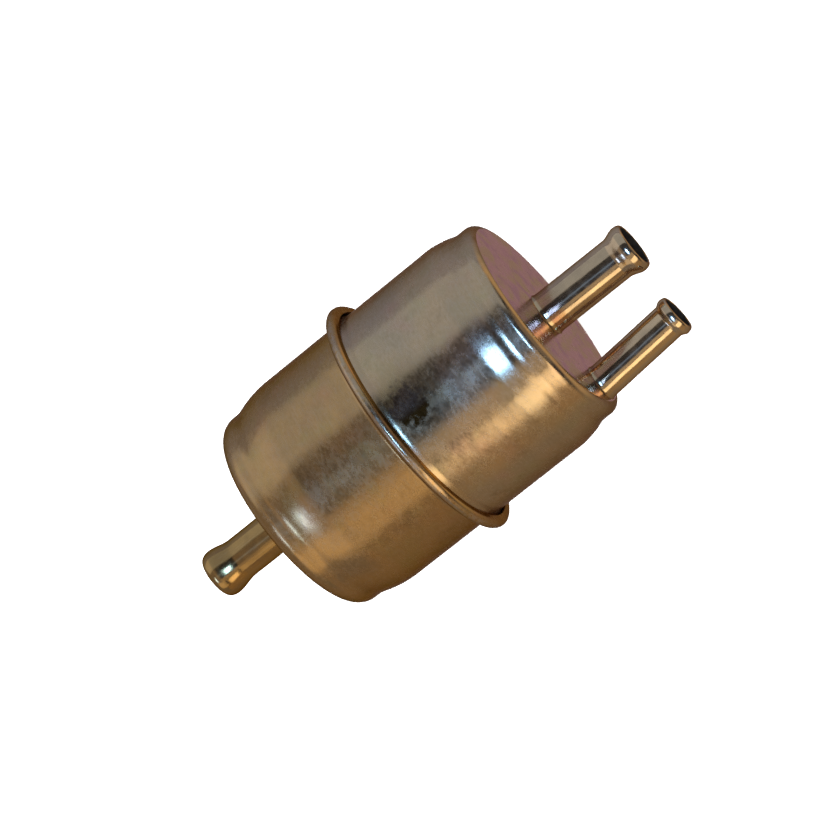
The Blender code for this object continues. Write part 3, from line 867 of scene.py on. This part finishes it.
def coil():
    """A compression spring with one closed turn at each end."""
    low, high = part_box("element_spring")
    start, end = low.x + WIRE_R, high.x - WIRE_R
    mean_r = (high.z - low.z) / 2 - WIRE_R
    closed_rise = 2 * WIRE_R + 0.15 * MM
    active = SPRING_TURNS - 2
    path, across = [], []
    steps = round(SPRING_TURNS * POINTS_PER_TURN)
    for i in range(steps + 1):
        turn = SPRING_TURNS * i / steps
        if turn <= 1:
            x = start + closed_rise * turn
        elif turn >= 1 + active:
            x = end - closed_rise * (SPRING_TURNS - turn)
        else:
            x = start + closed_rise + (end - start - 2 * closed_rise) * (turn - 1) / active
        out = Vector((0, math.cos(2 * math.pi * turn), math.sin(2 * math.pi * turn)))
        path.append(Vector((x, 0, 0)) + out * mean_r)
        across.append((out, Vector((1, 0, 0))))
    return swept("coil_spring", path, across, WIRE_R, wire_steel)


def inside_pieces():
    """Makes the pieces in the can: four fixed to it, and the element that slides as one body."""
    bond_edge, sealant_edge = 0.4 * MM, 0.3 * MM
    fixed = {
        "seam_sealant": (
            closed_shape("seam_compound", "seam_sealant", SEALANT_BORE_R, compound, sealant_edge, FINE),
            "sealant",
        ),
        "spring_seat": (washer(), "bare_steel"),
        "return_orifice": (jet(), "orifice_brass"),
        "element_spring": (coil(), "spring_steel"),
    }
    floating = {
        "pleated_media": (folded_paper(), "filter_paper"),
        "media_seam_clip": (seam_channel(), "bare_steel"),
        "centre_tube": (perforated_core(), "bare_steel"),
        "inlet_end_cap": (inlet_cap(), "bare_steel"),
        "outlet_end_cap": (outlet_cap(), "bare_steel"),
        "inlet_potting": (
            closed_shape("inlet_bond", "inlet_potting", 0.0, plastisol, bond_edge), "plastisol",
        ),
        "outlet_potting": (
            closed_shape("outlet_bond", "outlet_potting", CORE_BORE_R, plastisol, bond_edge), "plastisol",
        ),
        "outlet_grommet": (grommet(), "nitrile"),
    }
    for body, pieces in (("can", fixed), ("element", floating)):
        for node, (piece, slot) in pieces.items():
            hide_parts(node)
            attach(piece, body)
    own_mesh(fixed["element_spring"][0])


inside_pieces()


# ---------------------------------------------------------------- studio


def softbox(name, direction, width, height, radiance, distance=1.2, diffuse=False, glossy=True):
    """An area light that faces the object. width and height are angles in degrees, width along the can."""
    direction = Vector(direction).normalized()
    data = bpy.data.lights.new(name, "AREA")
    data.shape = "RECTANGLE"
    data.size = 2 * distance * math.tan(math.radians(width / 2))
    data.size_y = 2 * distance * math.tan(math.radians(height / 2))
    strength = max(radiance)
    data.color = [c / strength for c in radiance]
    data.energy = strength * math.pi * data.size * data.size_y
    light = bpy.data.objects.new(name, data)
    light.location = direction * distance
    side = Vector((1, 0, 0))
    side = (side - direction * side.dot(direction)).normalized()
    light.rotation_mode = "QUATERNION"
    light.rotation_quaternion = Matrix((side, direction.cross(side), direction)).transposed().to_quaternion()
    light.visible_diffuse = diffuse
    light.visible_glossy = glossy
    bpy.context.scene.collection.objects.link(light)


def round_can(angle, along=-0.25):
    """A direction at this many degrees from +Z towards +Y, with this much of it along the can."""
    across = math.sqrt(1 - along**2)
    turn = math.radians(angle)
    return (along, across * math.sin(turn), across * math.cos(turn))


def lights():
    """Soft panels that the plating reflects as bands and spots, and one that lights only the floor."""
    softbox("key", (0.14, -0.06, 0.99), 6, 21, (7.2, 16.0, 35.0))
    softbox("warm_panel", round_can(-51, 0.27), 50, 22, (1.85, 1.48, 0.96), distance=0.30)
    softbox("warm_edge", round_can(-28, 0.15), 60, 18, (0.42, 0.33, 0.22), distance=0.45)
    softbox("warm_far", round_can(-48, -0.55), 36, 26, (0.55, 0.44, 0.28), distance=0.45)
    softbox("cool_strip", round_can(1), 20, 8, (0.12, 0.20, 0.38))
    softbox("cool_spot", (-0.67, -0.15, 0.73), 6, 20, (2.2, 3.7, 7.2))
    softbox("brown_card", (-0.51, 0.0, 0.86), 11, 58, (0.17, 0.14, 0.11), distance=0.232)
    softbox("side_panel", round_can(66, 0.0), 112, 60, (0.36, 0.40, 0.46))
    softbox("end_fill", (0.95, -0.1, 0.30), 40, 40, (0.2, 0.16, 0.12))
    softbox("floor_light", (0, 0, 1), 110, 110, (4.6, 4.6, 4.6), diffuse=True, glossy=False)


def world():
    """White to the eye. The metal reflects a dim studio: dark above, taupe below."""
    scene_world = bpy.data.worlds.new("studio")
    bpy.context.scene.world = scene_world
    scene_world.use_nodes = True
    tree = scene_world.node_tree
    tree.nodes.clear()
    direction = tree.nodes.new("ShaderNodeTexCoord")
    split = tree.nodes.new("ShaderNodeSeparateXYZ")
    tree.links.new(direction.outputs["Generated"], split.inputs[0])

    def blend(source, low, high):
        node = tree.nodes.new("ShaderNodeMapRange")
        node.interpolation_type = "SMOOTHSTEP"
        node.inputs["From Min"].default_value = low
        node.inputs["From Max"].default_value = high
        tree.links.new(source, node.inputs["Value"])
        return node.outputs["Result"]

    def mix(factor, a, b):
        node = tree.nodes.new("ShaderNodeMix")
        node.data_type = "RGBA"
        for socket, value in ((node.inputs["Factor"], factor), (node.inputs["A"], a), (node.inputs["B"], b)):
            if isinstance(value, bpy.types.NodeSocket):
                tree.links.new(value, socket)
            else:
                socket.default_value = value
        return node.outputs["Result"]

    x, y, z = split.outputs
    dark, amber, brown = rgb(0.04, 0.04, 0.045), rgb(0.36, 0.25, 0.14), rgb(0.24, 0.21, 0.19)
    above = mix(blend(y, -0.75, -0.95), dark, amber)
    above = mix(blend(x, -0.285, -0.325), above, brown)
    taupe, blue_grey = rgb(0.29, 0.225, 0.165), rgb(0.30, 0.31, 0.40)
    rose, gold = rgb(0.33, 0.25, 0.24), rgb(0.60, 0.44, 0.25)
    below = mix(blend(y, -0.8, 0.6), taupe, blue_grey)
    below = mix(blend(z, -0.75, -0.92), below, rose)
    below = mix(blend(x, 0.5, 0.8), below, gold)
    colour = mix(blend(z, -0.25, 0.05), below, above)
    seen = tree.nodes.new("ShaderNodeLightPath").outputs["Is Camera Ray"]
    background = tree.nodes.new("ShaderNodeBackground")
    tree.links.new(mix(seen, colour, rgb(1, 1, 1)), background.inputs["Color"])
    output = tree.nodes.new("ShaderNodeOutputWorld")
    tree.links.new(background.outputs[0], output.inputs["Surface"])


def floor():
    """A plain white floor under the seam, the lowest point of the filter."""
    half, gap = 1.6, 0.02 * MM
    z = -SEAM_R - gap
    corners = [(-half, -half, z), (half, -half, z), (half, half, z), (-half, half, z)]
    g = Graph("floor_white", 0.0)
    tone = g.noise(300 * MM, 2)
    colour = g.mix(tone, rgb(0.90, 0.90, 0.90), rgb(0.93, 0.93, 0.93))
    material = g.done(colour, 0.9)
    plane = add_mesh("floor", corners, [(0, 1, 2, 3)], [material])
    plane.visible_glossy = False


def camera():
    """Looks down on the can from the outlet side, turned so that the can runs up to the right."""
    distance = 696 * MM
    elevation, roll = math.radians(75.555), math.radians(38.531)
    shift_left, shift_down = 0.28 * MM, 1.18 * MM
    toward = Vector((math.cos(elevation), 0, math.sin(elevation)))
    level_right = Vector((toward.z, 0, -toward.x))
    level_up = Vector((0, 1, 0))
    right = level_right * math.cos(roll) - level_up * math.sin(roll)
    up = level_right * math.sin(roll) + level_up * math.cos(roll)
    data = bpy.data.cameras.new("camera")
    data.sensor_width = 36.0
    data.lens = 141.4
    obj = bpy.data.objects.new("camera", data)
    obj.location = toward * distance - right * shift_left - up * shift_down
    obj.rotation_mode = "QUATERNION"
    obj.rotation_quaternion = Matrix((right, up, toward)).transposed().to_quaternion()
    bpy.context.scene.collection.objects.link(obj)
    bpy.context.scene.camera = obj


lights()
world()
floor()
camera()
bpy.context.scene.view_settings.view_transform = "Standard"
